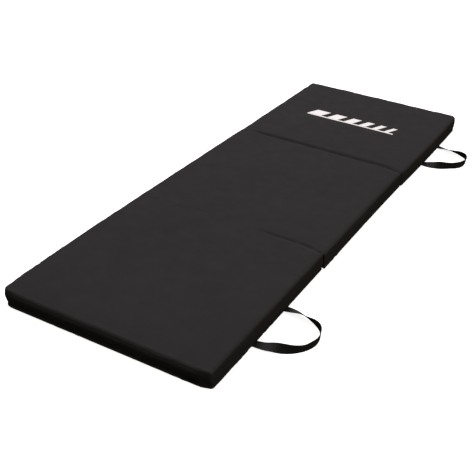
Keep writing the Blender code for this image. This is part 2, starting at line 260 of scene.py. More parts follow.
def ripples(seed, shortest, longest, waves=32):
    """A smooth random field, about -1.5 to 1.5, of plane waves between two wavelengths."""
    rng = np.random.default_rng(seed)
    lengths = rng.uniform(shortest, longest, waves)
    headings = rng.normal(size=(waves, 3))
    headings *= (2 * math.pi / lengths / np.linalg.norm(headings, axis=1))[:, None]
    starts = rng.uniform(0, 2 * math.pi, waves)
    return lambda points: np.sin(points @ headings.T + starts).sum(axis=1) * math.sqrt(2 / waves)


def bell(distance, width):
    """1 at no distance, falling smoothly away over the width."""
    return np.exp(-((distance / width) ** 2))


def smooth(value, low, high):
    """0 below low, 1 above high, and a smooth rise between."""
    t = np.clip((value - low) / (high - low), 0, 1)
    return t * t * (3 - 2 * t)


def spread(low, high, spacing, end_steps, extra=()):
    """Positions from low to high: the given steps in from both ends, and even ones between."""
    inner = np.cumsum(end_steps)
    count = max(1, round((high - low - 2 * inner[-1]) / spacing))
    middle = np.linspace(low + inner[-1], high - inner[-1], count + 1)
    places = np.concatenate(([low], low + inner, middle, high - inner, [high], extra))
    return np.unique(places.round(6))


def box_lattice(xs, ys, zs):
    """The points and outward faces of a box's surface, with lines at the given places."""
    shape = (len(xs), len(ys), len(zs))
    grid = np.stack(np.meshgrid(xs, ys, zs, indexing="ij"), axis=-1)
    outside = np.ones(shape, bool)
    outside[1:-1, 1:-1, 1:-1] = False
    number = np.full(shape, -1)
    number[outside] = np.arange(outside.sum())
    faces = []
    for axis in range(3):
        for end in (0, -1):
            sheet = np.take(number, end, axis=axis)
            corners = (sheet[:-1, :-1], sheet[1:, :-1], sheet[1:, 1:], sheet[:-1, 1:])
            quads = np.stack(corners, axis=-1).reshape(-1, 4)
            faces.append(quads[:, ::-1] if (end == 0) != (axis == 1) else quads)
    return grid[outside], np.concatenate(faces)


def scatter(shape, places, frames):
    """One mesh of many copies of a small shape, each at its place and turned by its frame."""
    points, faces = shape
    copies = len(places)
    moved = np.einsum("nij,pj->npi", frames, points) + np.asarray(places)[:, None, :]
    numbered = faces[None, :, :] + (np.arange(copies) * len(points))[:, None, None]
    return moved.reshape(-1, 3), numbered.reshape(-1, faces.shape[1])


def bead(size, around=8, rings=5):
    """A rounded bead of the given full sizes, as points and quads with pinched ends along X."""
    turn = np.arange(around) * 2 * math.pi / around
    points, faces = [], []
    for ring in range(rings):
        angle = math.pi * (0.04 + 0.92 * ring / (rings - 1))
        reach = math.sin(angle) ** 0.6
        x = np.full(around, -math.cos(angle))
        points.append(np.stack((x, reach * np.cos(turn), reach * np.sin(turn)), axis=1))
    for ring in range(rings - 1):
        for side in range(around):
            a, b = ring * around + side, ring * around + (side + 1) % around
            faces.append((a, a + around, b + around, b))
    for ring, step in ((0, 1), (rings - 1, -1)):
        for side in range(1, around - 2, 2):
            cap = [ring * around + k for k in (0, side, side + 1, side + 2)]
            faces.append(tuple(cap[::step]))
    return np.concatenate(points) * np.asarray(size) / 2, np.asarray(faces)


def facing_out(faces, axes):
    """The faces, turned over if the axes that their points are placed by mirror them."""
    return faces[:, ::-1] if np.linalg.det(axes) < 0 else faces


def panel_box(panel):
    """The lowest and highest corners of a panel's cover."""
    boxes = [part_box(f"{panel}_cover_{sheet}") for sheet in ("top", "bottom", "boxing")]
    low = np.min([np.array(box[0]) for box in boxes], axis=0)
    high = np.max([np.array(box[1]) for box in boxes], axis=0)
    return low, high


# ---------------------------------------------------------------------------------------------
# The covers
# ---------------------------------------------------------------------------------------------


class Wall:
    """The wall of a panel that has the zip: u along it, out from it, and up."""

    def __init__(self, panel):
        low, high = panel_box(panel)
        turn = Matrix.Rotation(ZIP_TURN[panel], 3, "Z")
        self.along = np.array(turn @ Vector((1, 0, 0)))
        self.out = np.array(turn @ Vector((0, -1, 0)))
        middle = (low + high) / 2
        half = (high - low) / 2
        self.origin = np.array([middle[0], middle[1], 0]) + self.out * abs(self.out @ half)
        strips = [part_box(f"{panel}_zip_strip_{side}") for side in ("lower", "upper")]
        self.slot = (strips[0][1].z, strips[1][0].z)
        ends = [abs(self.along @ (np.array(corner) - self.origin)) for corner in strips[0]]
        self.half = min(ends)

    def at(self, u, out, z):
        """Points from their places along, out from and up the wall."""
        u, out, z = np.broadcast_arrays(u, out, z)
        places = self.origin + u[..., None] * self.along + out[..., None] * self.out
        return places + z[..., None] * np.array((0, 0, 1))

    def frame(self):
        """The wall's axes as a matrix: along, out, up."""
        return np.stack((self.along, self.out, (0, 0, 1)), axis=1)


def soften(points, low, high, corners, top_edge, bottom_edge):
    """Rounds a box's upright corners, then rolls its upper and lower edges over.

    Gives the new points, their normals, the outward plan direction, and how far each point was
    from the outline and from the top or bottom.
    """
    middle, half = (low + high) / 2, (high - low) / 2
    plan = points[:, :2] - middle[:2]
    side = np.where(plan >= 0, 1.0, -1.0)
    index = (side[:, 0] > 0).astype(int) + 2 * (side[:, 1] > 0).astype(int)
    radius = np.asarray(corners)[index]
    past = np.abs(plan) - (half[:2] - radius[:, None])
    turning = (past > 0).all(axis=1)
    length = np.maximum(np.linalg.norm(past, axis=1), 1e-9)
    scale = np.where(turning, past.max(axis=1) / length, 1.0)[:, None]
    past = np.where(turning[:, None], past * scale, past)
    plan = side * (past + half[:2] - radius[:, None])
    over = np.maximum(past, 0)
    outward = np.where(turning[:, None], over, (past >= past.max(axis=1)[:, None]).astype(float))
    outward = side * outward / np.maximum(np.linalg.norm(outward, axis=1), 1e-9)[:, None]
    inset = radius - np.where(turning, np.linalg.norm(over, axis=1), past.max(axis=1))
    up = points[:, 2] > middle[2]
    drop = np.where(up, high[2] - points[:, 2], points[:, 2] - low[2])
    roll = np.where(up[:, None], top_edge(points, outward), bottom_edge(points, outward))
    reach = np.maximum(1 - np.column_stack((inset, drop)) / roll, 0)
    rounded = (reach > 0).all(axis=1)
    span = np.maximum(np.linalg.norm(reach, axis=1), 1e-9)[:, None]
    arc = roll * (1 - reach / span)
    new_inset = np.where(rounded, arc[:, 0], inset)
    new_drop = np.where(rounded, arc[:, 1], drop)
    plan = plan - outward * (new_inset - inset)[:, None]
    z = np.where(up, high[2] - new_drop, low[2] + new_drop)
    vertical = np.where(up, 1.0, -1.0)
    facing = reach / roll
    facing = facing / np.maximum(np.linalg.norm(facing, axis=1), 1e-9)[:, None]
    flat = np.where(rounded, facing[:, 1], np.where(drop < inset, 1.0, 0.0))
    normals = np.column_stack((outward * np.sqrt(1 - flat**2)[:, None], vertical * flat))
    moved = np.column_stack((plan + middle[:2], z))
    return moved, normals, outward, inset, drop


def crease_opening(x):
    """How far the near fold's seam stands open along the mat's width, from 0 to 1."""
    wave = ripples(71, 0.018, 0.06)(np.column_stack((x, 0 * x, 0 * x)))
    right = smooth(x, 0.05, 0.15)
    short = 0.35 * bell(x + 0.10, 0.035)
    return np.clip(right + short + 0.14 * wave * right, 0.0, 1.15)


def fold_edges(panel, is_top):
    """How far in and down a panel's upper or lower edge rolls over, all the way round it."""
    folds = FOLDS[panel]

    def roll(points, outward):
        """The roll at each point, from the walls that it faces."""
        ends = []
        for fold, plain in zip(folds, (NEAR_EDGE, FAR_EDGE)):
            hinge_on_top = fold and JOINTS[fold]["pos_m"][2] > 0
            if fold is None:
                edge = np.array(plain if is_top else BOTTOM_EDGE)
            elif hinge_on_top and is_top:
                opening = crease_opening(points[:, 0])[:, None]
                closed, opened = np.array(CLOSED_FOLD_EDGE), np.array(HINGED_FOLD_EDGE)
                edge = closed + (opened - closed) * opening
            elif hinge_on_top:
                edge = np.array(OPEN_BOTTOM_EDGE)
            else:
                edge = np.array(OPEN_FOLD_EDGE if is_top else HINGED_BOTTOM_EDGE)
            ends.append(edge)
        left, right = (LEFT_EDGE, RIGHT_EDGE) if is_top else (BOTTOM_EDGE, BOTTOM_EDGE)
        shares = [
            np.clip(outward @ direction, 0, 1)[:, None] ** 2
            for direction in ((-1, 0), (1, 0), (0, -1), (0, 1))
        ]
        parts = [np.array(left), np.array(right), ends[0], ends[1]]
        total = sum(share * part for share, part in zip(shares, parts))
        return total + (1 - sum(shares)) * np.array(left)

    return roll


def furrow_depth(fold, x):
    """How far the top dips at a fold, along the mat's width."""
    if fold == "near_fold":
        return crease_opening(x)
    wave = ripples(73, 0.03, 0.09)(np.column_stack((x, 0 * x, 0 * x)))
    return 0.06 + 0.94 * smooth(x, -0.275, -0.20) * (1 - 0.3 * smooth(x, 0.22, 0.3)) + 0.07 * wave


def settled(panel, folds, points):
    """The points of a panel's upper side, or a hinge's, pushed along and lowered into its furrows.

    The near panel's free end sags as well.
    """
    x, y, z = points.T.copy()
    upper = smooth(z, 12 * MM, 44 * MM)
    for fold in folds:
        if fold:
            depth, near_width, far_width, past = FURROWS[fold]
            lip_height, lip_width, before = LIP
            share = furrow_depth(fold, x)
            from_fold = y - JOINTS[fold]["pos_m"][1]
            inside = smooth(x, -0.295, -0.23) * smooth(-x, -0.295, -0.23)
            points[:, 1] += upper * past * inside * bell(from_fold, 60 * MM)
            width = np.where(from_fold < 0, near_width, far_width)
            dip = depth * bell(from_fold, width) - lip_height * bell(from_fold + before, lip_width)
            points[:, 2] -= upper * share * dip
    if panel == "near":
        end = panel_box(panel)[0][1]
        sag, run = END_SAG
        points[:, 2] -= upper * sag * bell(y - end, run)
    return points


def bowed(panel, points, low, high):
    """The points moved sideways, so that the panel's long sides bow in or out.

    The middle panel's left side has a zip, and bows only above it.
    """
    along, across = ((points - low) / (high - low))[:, 1::-1].T
    shapes = np.stack(
        ((1 - along) * (1 - 2 * along), 4 * along * (1 - along), along * (2 * along - 1))
    )
    left, right = (np.array(bow) @ shapes for bow in BOWS[panel])
    free = smooth(points[:, 2], 18 * MM, 36 * MM) if panel == "middle" else 1.0
    points[:, 0] += right * across - left * (1 - across) * free
    return points


def tucked(panel, points, low, high):
    """The points with the lower corners drawn in under the panel."""
    low_down = 1 - smooth(points[:, 2], 2 * MM, 34 * MM)
    for x_end, y_end, *tuck in CORNER_TUCKS[panel]:
        corner = np.array((low, high))[[x_end, y_end], [0, 1]]
        inward = np.array((1 - 2 * x_end, 1 - 2 * y_end)) * tuck
        away = np.linalg.norm(points[:, :2] - corner, axis=1)
        points[:, :2] += inward * (low_down * bell(away, TUCK_REACH))[:, None]
    return points


def fold_share(panel, outward):
    """1 on a wall that faces a fold, and 0 on the others."""
    share = np.zeros(len(outward))
    for fold, end in zip(FOLDS[panel], (-1, 1)):
        if fold:
            share += np.clip(outward[:, 1] * end, 0, 1) ** 2
    return share


def cover_relief(panel, seed, moved, normals, outward, inset, drop, low, high, wall):
    """How far each point of a cover stands out from its plain rounded shape."""
    flank = 1 - np.abs(normals[:, 2])
    top = np.clip(normals[:, 2], 0, 1)
    bottom = np.clip(-normals[:, 2], 0, 1)
    facing_fold = fold_share(panel, outward)
    free = 1 - facing_fold
    up = moved[:, 2] > (low[2] + high[2]) / 2
    from_edge = inset + drop
    across_x = outward[:, 0] ** 2
    across_y = outward[:, 1] ** 2
    # Gathers that run in from the seams: quick along a seam, slow across it
    gather_y = ripples(seed, 9 * MM, 30 * MM)(moved * (0.12, 1.0, 0.35))
    gather_x = ripples(seed + 1, 9 * MM, 30 * MM)(moved * (1.0, 0.12, 0.35))
    gathers = across_x * gather_y + across_y * gather_x
    strength = 0.55 + 0.45 * ripples(seed + 2, 0.06, 0.2)(moved)
    near_edge = bell(from_edge, GATHER_REACH)
    near_edge *= 1 - 0.9 * facing_fold
    relief = GATHER_HEIGHT * gathers * strength * near_edge * (top * 0.9 + flank * free)
    # The slack of the cloth over the foam, and the crown of the top
    slack = ripples(seed + 3, 0.16, 0.45)(moved)
    relief += SLACK_HEIGHT * slack * top
    relief += CROWN_HEIGHT * top * smooth(inset, 0, CROWN_REACH)
    # The sides belly out between their seams, but not into a fold
    height = (moved[:, 2] - low[2]) / (high[2] - low[2])
    belly = np.clip(1 - ((height - 0.48) / 0.42) ** 2, 0, 1)
    sway = ripples(seed + 4, 0.05, 0.16)(moved * (1, 1, 2))
    relief += flank * free * belly * (BELLY + BELLY_SWAY * sway)
    relief -= flank * facing_fold * 0.3 * MM
    if panel == "near":
        end_wall = np.clip(-outward[:, 1], 0, 1) ** 2
        from_end = np.minimum(moved[:, 0] - low[0], high[0] - moved[:, 0])
        puff = PUFF * smooth(from_end, 0, PUFF_RUN_IN)
        relief += flank * end_wall * puff * bell(moved[:, 2] - PUFF_LEVEL, PUFF_WIDTH)
    # The seam lines below the top sheet and above the bottom one
    seam_z = high[2] - SEAM_DROP + 0.4 * MM * ripples(seed + 5, 0.05, 0.12)(moved)
    relief -= flank * 0.9 * MM * bell(moved[:, 2] - seam_z, 0.8 * MM)
    relief += flank * free * 0.35 * MM * bell(moved[:, 2] - seam_z - 1.7 * MM, 1.1 * MM)
    relief -= flank * 0.6 * MM * bell(moved[:, 2] - low[2] - SEAM_RISE, 0.7 * MM) * ~up
    # The welt round the bottom
    relief += flank * free * WELT[0] * bell(moved[:, 2], WELT[1])
    # The upright seams where the boxing meets the zip's wall
    on_zip_wall = smooth(outward @ wall.out[:2], 0.9, 0.99) * flank
    u = (moved - wall.origin) @ wall.along
    relief -= on_zip_wall * 0.8 * MM * bell(np.abs(u) - wall.half, 0.9 * MM)
    relief += on_zip_wall * 0.5 * MM * bell(np.abs(u) - wall.half - 2.2 * MM, 1.6 * MM)
    # The bottom lies flat on the floor
    relief -= 0.15 * MM * bottom * (1 + slack)
    return relief


def make_cover(panel, seed, material):
    """A panel's whole cover, closed, with its rounded edges, seams, gathers and zip slot."""
    low, high = panel_box(panel)
    wall = Wall(panel)
    seam_lines = [0, 0.7, 1.4, 2.4, -0.7, -1.4]
    marks = [side * (wall.half + step * MM) for side in (-1, 1) for step in seam_lines]
    slot_end = wall.half - 3 * MM
    marks += [side * (slot_end + step * MM) for side in (-1, 1) for step in (0, -0.25)]
    along_x = abs(wall.along[0]) > 0.5
    centre = wall.origin @ np.abs(wall.along)
    steps = [MM * step for step in (0.8, 1.0, 1.2, 1.4, 1.6, 1.8, 2.2, 2.6, 3.0, 3.4)]
    extra = [centre + mark for mark in marks]
    xs = spread(low[0], high[0], GRID, steps, extra if along_x else ())
    ys = spread(low[1], high[1], GRID, steps, () if along_x else extra)
    slot_low, slot_high = wall.slot
    seam = high[2] - SEAM_DROP
    rise = low[2] + SEAM_RISE
    levels = [slot_low, slot_low + 0.2 * MM, slot_high - 0.2 * MM, slot_high]
    levels += [9 * MM, 12 * MM, 15 * MM]
    levels += [seam + step * MM for step in (-2.5, -1.4, -0.7, 0, 0.7, 1.6, 2.6)]
    levels += [rise + step * MM for step in (-1.4, -0.7, 0, 0.7, 1.4)]
    levels += list(np.arange(20, 42, 3) * MM)
    edge_levels = np.array((0, 0.5, 1.1, 1.8, 2.7)) * MM
    zs = np.unique(np.concatenate((low[2] + edge_levels, high[2] - edge_levels, levels)).round(6))
    points, faces = box_lattice(xs, ys, zs)
    top_edge, bottom_edge = fold_edges(panel, True), fold_edges(panel, False)
    moved, normals, outward, inset, drop = soften(
        points, low, high, CORNERS[panel], top_edge, bottom_edge
    )
    relief = cover_relief(panel, seed, moved, normals, outward, inset, drop, low, high, wall)
    u = (points - wall.origin) @ wall.along
    depth = -(points - wall.origin) @ wall.out
    in_slot = (
        (depth < 1e-6)
        & (np.abs(u) < slot_end - 0.1 * MM)
        & (points[:, 2] > slot_low + 0.1 * MM)
        & (points[:, 2] < slot_high - 0.1 * MM)
    )
    relief = np.where(in_slot, -TROUGH_DEPTH, relief)
    final = moved + normals * relief[:, None]
    # The upper edge wanders a little, as a sewn edge does
    wander = ripples(seed + 6, 0.045, 0.13)(moved) * (1 - fold_share(panel, outward))
    final[:, 2] += EDGE_WANDER * wander * bell(inset + drop, 14 * MM) * (moved[:, 2] > 0.03)
    final[:, 2] = np.maximum(final[:, 2], 0.1 * MM)
    final = tucked(panel, final, low, high)
    final = bowed(panel, settled(panel, FOLDS[panel], final), low, high)
    cover = mesh_object(f"{panel}_cover", final, faces, material)
    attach(cover, f"{panel}_panel")
    sheets = ("cover_top", "cover_bottom", "cover_boxing", "zip_strip_lower", "zip_strip_upper")
    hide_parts(*(f"{panel}_{sheet}" for sheet in sheets))
    return cover


def make_foam(panel, material):
    """The foam block, rounded as its cover is, with a little room between them."""
    low, high = panel_box(panel)
    steps = [MM * step for step in (3.0, 4.0, 5.0, 6.0)]
    xs, ys = (spread(low[axis], high[axis], 14 * MM, steps) for axis in (0, 1))
    zs = np.array((0, 2, 4, 7, 12, 18, 25, 32, 38, 43, 46, 48, 50)) * MM
    points, faces = box_lattice(xs, ys, zs)
    edges = fold_edges(panel, True), fold_edges(panel, False)
    moved, normals, *_ = soften(points, low, high, CORNERS[panel], *edges)
    moved = tucked(panel, moved - FOAM_ROOM * normals, low, high)
    moved = bowed(panel, settled(panel, FOLDS[panel], moved), low, high)
    foam = mesh_object(f"{panel}_foam", moved, faces, material)
    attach(foam, f"{panel}_panel")
    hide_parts(f"{panel}_foam_core")
    return foam


# ---------------------------------------------------------------------------------------------
# The hinges
# ---------------------------------------------------------------------------------------------


def make_hinge(side, material):
    """The fabric that joins two covers at a fold.

    The one on top lies level with the covers where the fold is shut, and follows the furrow.
    """
    fold = f"{side}_fold"
    joint = JOINTS[fold]
    y = joint["pos_m"][1]
    low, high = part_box(f"{side}_hinge_strip")
    on_top = joint["pos_m"][2] > 0
    half_width = (high.x - low.x) / 2 - 4 * MM
    half_strip = HINGE_HALF_STRIP
    outer = high.z - HINGE_TOP_DROP if on_top else low.z + HINGE_BOTTOM_RISE
    inner = outer - HINGE_THICKNESS if on_top else outer + HINGE_THICKNESS
    bottom, top = sorted((outer, inner))
    xs = np.linspace(-half_width, half_width, 161)
    ys = y + np.linspace(-half_strip, half_strip, 41)
    points, faces = box_lattice(xs, ys, np.array((bottom, top)))
    from_fold = points[:, 1] - y
    if on_top:
        closed = 1 - smooth(crease_opening(points[:, 0]), 0.3, 0.8)
        edge = smooth(np.abs(from_fold), 4 * MM, 7.5 * MM)
        points[:, 2] += (0.85 * closed - 1.1 * edge) * MM
    wrinkle = ripples(91, 7 * MM, 26 * MM)(points * (1.0, 0.4, 0))
    points[:, 2] += 0.05 * MM * wrinkle * bell(from_fold, 5 * MM)
    if on_top:
        points = settled("hinge", [fold], points)
    else:
        points[:, 2] += 0.35 * MM * bell(from_fold, 1.2 * MM)
    hinge = mesh_object(f"{side}_hinge_fabric", points, faces, material)
    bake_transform(hinge)
    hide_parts(f"{side}_hinge_strip")
    return hinge


# ---------------------------------------------------------------------------------------------
# The carrying loops
# ---------------------------------------------------------------------------------------------


def smooth_route(points, steps):
    """A Catmull-Rom curve through the points, whose ends carry straight on."""
    points = np.asarray(points, float)
    padded = np.vstack((2 * points[0] - points[1], points, 2 * points[-1] - points[-2]))
    route = []
    for a, b, c, d in zip(padded, padded[1:], padded[2:], padded[3:]):
        for t in np.arange(steps) / steps:
            bend = (2 * a - 5 * b + 4 * c - d) * t**2 + (3 * b - a - 3 * c + d) * t**3
            route.append((2 * b + (c - a) * t + bend) / 2)
    return np.array([*route, points[-1]])


def band_section():
    """The webbing's cross-section: flat faces, rounded selvedges. Across, through."""
    half_width, half_through = WEBBING_WIDTH / 2, WEBBING_THICKNESS / 2
    flat = np.linspace(-1, 1, 11) * (half_width - half_through)
    turn = np.radians([-60, -30, 0, 30, 60])
    lower = np.column_stack((flat, np.full(11, -half_through)))
    right = np.column_stack((flat[-1] + half_through * np.cos(turn), half_through * np.sin(turn)))
    upper = np.column_stack((flat[::-1], np.full(11, half_through)))
    return np.vstack((lower, right, upper, right[::-1] * (-1, 1)))


def make_handle(panel, material):
    """A loop of webbing, sewn in flat at both ends and standing on its edge between."""
    joint = JOINTS[f"{panel}_handle_swing"]
    seam = np.array(joint["pos_m"])
    stations = smooth_route(HANDLE_STATIONS[panel], 9)
    route, level = stations[:, :2] * MM, stations[:, 2] * MM
    lean = np.radians(stations[:, 3])
    steps = np.linalg.norm(np.diff(route, axis=0), axis=1)
    reached = np.concatenate(([0], np.cumsum(steps)))
    lowest = (WEBBING_WIDTH * np.abs(np.sin(lean)) + WEBBING_THICKNESS * np.abs(np.cos(lean))) / 2
    level = np.maximum(level, lowest + 0.3 * MM)
    heading = np.gradient(route, axis=0)
    heading /= np.linalg.norm(heading, axis=1)[:, None]
    count = len(route)
    side = np.column_stack((-heading[:, 1], heading[:, 0], np.zeros(count)))
    up = np.tile((0.0, 0.0, 1.0), (count, 1))
    across = side * np.cos(lean)[:, None] + up * np.sin(lean)[:, None]
    through = -side * np.sin(lean)[:, None] + up * np.cos(lean)[:, None]
    centre = np.column_stack((route + seam[:2], level))
    section = band_section()
    around = len(section)
    buckle = ripples(131, 0.03, 0.08)(centre) * 0.25 * MM
    rings = (
        centre[:, None, :]
        + across[:, None, :] * section[None, :, :1]
        + through[:, None, :] * (section[None, :, 1:] + buckle[:, None, None])
    )
    ring, place = np.meshgrid(np.arange(count - 1), np.arange(around), indexing="ij")
    a = ring * around + place
    b = ring * around + (place + 1) % around
    faces = np.stack((a, b, b + around, a + around), axis=-1).reshape(-1, 4).tolist()
    faces.append(list(range(around))[::-1])
    faces.append([(count - 1) * around + k for k in range(around)])
    band = mesh_object(f"{panel}_webbing", rings.reshape(-1, 3), faces, material)
    band.data.set_sharp_from_angle(angle=math.radians(50))
    store(band, "lay", np.column_stack((np.repeat(reached, around), np.tile(section, (count, 1)))))
    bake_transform(band)
    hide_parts(f"{panel}_handle")
    return band


# ---------------------------------------------------------------------------------------------
# The zips
# ---------------------------------------------------------------------------------------------


def make_zip(panel, looks):
    """The tapes, the teeth, the end stops and the rows of stitches of one zip."""
    wall = Wall(panel)
    slot_low, slot_high = wall.slot
    middle = (slot_low + slot_high) / 2
    half = wall.half - 3.3 * MM
    body = f"{panel}_panel"
    axes = wall.frame()
    for name, side, edge in (("lower", -1, slot_low), ("upper", 1, slot_high)):
        # The tape, down in the slot
        count = round(2 * half / (3 * MM))
        us = np.linspace(-half, half, count)
        zs = np.linspace(edge - side * 0.25 * MM, middle + side * 0.55 * MM, 5)
        points, faces = box_lattice(us, np.array((-0.9 * MM, -0.3 * MM)), np.sort(zs))
        points[:, 1] += 0.12 * MM * ripples(161 + side, 8 * MM, 30 * MM)(points)
        faces = facing_out(faces, axes)
        places = wall.at(*points.T)
        tape = mesh_object(f"{panel}_zip_tape_{name}_woven", places, faces, looks["tape"])
        store(tape, "lay", np.column_stack((points[:, 0], points[:, 2], points[:, 1])))
        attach(tape, body)
        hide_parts(f"{panel}_zip_tape_{name}")
        # The teeth of this half, set half a pitch along from the other's
        tooth = bead(TOOTH_SIZE)
        stand = np.array(((0, 1, 0), (0, 0, 1), (1, 0, 0)), float)
        teeth = np.arange(-half + 3 * MM, half - 3 * MM, TOOTH_PITCH)
        teeth = teeth + side * TOOTH_PITCH / 4
        places = wall.at(teeth, np.full(len(teeth), 0.35 * MM), middle + side * 0.75 * MM)
        frames = np.tile(axes @ stand, (len(teeth), 1, 1))
        points, faces = scatter(tooth, places, frames)
        faces = facing_out(faces, axes @ stand)
        coil = mesh_object(f"{panel}_zip_teeth_{name}", points, faces, looks["coil"])
        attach(coil, body)
        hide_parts(f"{panel}_zip_coil_{name}")
    # The end stops
    stop = bead(END_STOP_SIZE)
    places = wall.at(np.array((-half + 1.2 * MM, half - 1.2 * MM)), 0.4 * MM, middle)
    points, faces = scatter(stop, places, np.tile(axes, (2, 1, 1)))
    faces = facing_out(faces, axes)
    stops = mesh_object(f"{panel}_zip_stops", points, faces, looks["metal"])
    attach(stops, body)
    # The stitches above and below the slot
    stitch = bead(STITCH_SIZE, 6, 5)
    rows = []
    for level in (slot_low - 1.5 * MM, slot_high + 1.8 * MM):
        us = np.arange(-wall.half + 4 * MM, wall.half - 4 * MM, STITCH_PITCH)
        rows.append(wall.at(us, np.zeros(len(us)), np.full(len(us), level)))
    places = seated(np.concatenate(rows), bpy.data.objects[f"{panel}_cover"], wall.out)
    points, faces = scatter(stitch, places, np.tile(axes, (len(places), 1, 1)))
    faces = facing_out(faces, axes)
    thread = mesh_object(f"{panel}_zip_stitching", points, faces, looks["thread"])
    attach(thread, body)


def seated(places, surface, outward):
    """The same places, moved along outward so that they lie on the surface."""
    tree = BVHTree.FromPolygons(
        [vertex.co for vertex in surface.data.vertices],
        [list(face.vertices) for face in surface.data.polygons],
    )
    outward = Vector(outward)
    found = []
    for place in places:
        start = Vector(place) + outward * 0.02
        hit = tree.ray_cast(start, -outward, 0.05)[0]
        found.append(hit if hit is not None else Vector(place))
    return np.array(found)


# ---------------------------------------------------------------------------------------------
# The print
# ---------------------------------------------------------------------------------------------


def make_print(material):
    """White film on the far panel: a line with slanted bars on it, lying on the cloth."""
    low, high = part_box("far_panel_print")
    low, high = np.array(low), np.array(high)
    room = high[0] - low[0] - PRINT_SLANT
    widths = PRINT_TAPER ** np.arange(PRINT_BARS)
    spacing = room * (1 - PRINT_BAR_SHARE) / (PRINT_BARS - 1)
    widths *= room * PRINT_BAR_SHARE / widths.sum()
    starts = low[0] + np.concatenate(([0], np.cumsum(widths + spacing)[:-1]))
    line_top = low[1] + PRINT_LINE
    shapes = [((low[0], high[0]), (low[0], high[0]), low[1], line_top)]
    for start, width in zip(starts, widths):
        foot = (start, start + width)
        head = (start + PRINT_SLANT, start + width + PRINT_SLANT)
        shapes.append((foot, head, line_top - 0.2 * MM, high[1]))
    cover = bpy.data.objects["far_cover"]
    all_points, all_faces, count = [], [], 0
    for foot, head, y_low, y_high in shapes:
        across = np.linspace(0, 1, max(3, round((foot[1] - foot[0]) / PRINT_GRID)))
        up = np.linspace(0, 1, max(3, round((y_high - y_low) / PRINT_GRID)))
        points, faces = box_lattice(across, up, np.array((-0.15 * MM, 0.15 * MM)))
        u, v, lift = points.T
        left = foot[0] + (head[0] - foot[0]) * v
        right = foot[1] + (head[1] - foot[1]) * v
        above = np.full(len(u), 0.06)
        places = np.column_stack((left + (right - left) * u, y_low + (y_high - y_low) * v, above))
        places = seated(places, cover, (0, 0, 1))
        places[:, 2] += lift
        all_points.append(places)
        all_faces.append(faces + count)
        count += len(points)
    film = mesh_object("far_print", np.concatenate(all_points), np.concatenate(all_faces), material)
    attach(film, "far_panel")
    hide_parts("far_panel_print")
    return film


# ---------------------------------------------------------------------------------------------
# Materials
# ---------------------------------------------------------------------------------------------


class Look:
    """A material's node tree, with short ways to add to it."""

    def __init__(self, name, colour, roughness, **sockets):
        self.material = bpy.data.materials.new(name)
        self.material.use_nodes = True
        self.tree = self.material.node_tree
        self.shader = self.tree.nodes["Principled BSDF"]
        self.shader.inputs["Base Color"].default_value = (*colour, 1)
        self.shader.inputs["Roughness"].default_value = roughness
        for socket, value in sockets.items():
            self.shader.inputs[socket.replace("_", " ")].default_value = value

    def node(self, kind, inputs=None, **settings):
        """A node with its settings, whose inputs are values or other nodes' outputs."""
        made = self.tree.nodes.new(kind)
        for name, value in settings.items():
            setattr(made, name, value)
        for name, value in (inputs or {}).items():
            if isinstance(value, bpy.types.NodeSocket):
                self.tree.links.new(value, made.inputs[name])
            else:
                made.inputs[name].default_value = value
        return made

    def feed(self, socket, output):
        """Drives one of the shader's sockets."""
        self.tree.links.new(output, self.shader.inputs[socket])

    def place(self):
        """Where on the object a point is, in metres."""
        return self.node("ShaderNodeTexCoord").outputs["Object"]

    def noise(self, scale, detail=3.0, roughness=0.55):
        """A noise over the object, with its features to the metre."""
        inputs = {"Vector": self.place(), "Scale": scale, "Detail": detail, "Roughness": roughness}
        return self.node("ShaderNodeTexNoise", inputs).outputs["Fac"]

    def spread(self, value, low, high, to_low, to_high):
        """A value's range carried over to another range."""
        inputs = {"Value": value, 1: low, 2: high, 3: to_low, 4: to_high}
        return self.node("ShaderNodeMapRange", inputs, clamp=True).outputs["Result"]

    def blend(self, share, first, second):
        """A colour between two, by share."""
        made = self.node("ShaderNodeMix", data_type="RGBA")
        for number, value in ((0, share), (6, first), (7, second)):
            if isinstance(value, bpy.types.NodeSocket):
                self.tree.links.new(value, made.inputs[number])
            else:
                made.inputs[number].default_value = (*value, 1)
        return made.outputs[2]

    def maths(self, operation, first, second=0.0):
        """An operation on one or two values."""
        return self.node("ShaderNodeMath", {0: first, 1: second}, operation=operation).outputs[0]

    def bump(self, height, distance, strength=1.0, normal=None):
        """The surface's direction over a height, on top of an earlier one."""
        inputs = {"Height": height, "Distance": distance, "Strength": strength}
        if normal is not None:
            inputs["Normal"] = normal
        return self.node("ShaderNodeBump", inputs).outputs["Normal"]

    def weave(self, along, across, pitch, width):
        """The height of a ribbed weave: rows of yarn, each a half step along from the last."""
        row = self.maths("DIVIDE", across, width)
        crown = self.maths("ABSOLUTE", self.maths("SINE", self.maths("MULTIPLY", row, math.pi)))
        shift = self.maths("MULTIPLY", self.maths("FLOOR", row), math.pi)
        turn = self.maths("MULTIPLY", along, 2 * math.pi / pitch)
        over = self.maths("SINE", self.maths("ADD", turn, shift))
        crown, over = self.maths("MULTIPLY", crown, 0.6), self.maths("MULTIPLY", over, 0.4)
        return self.maths("ADD", crown, over)


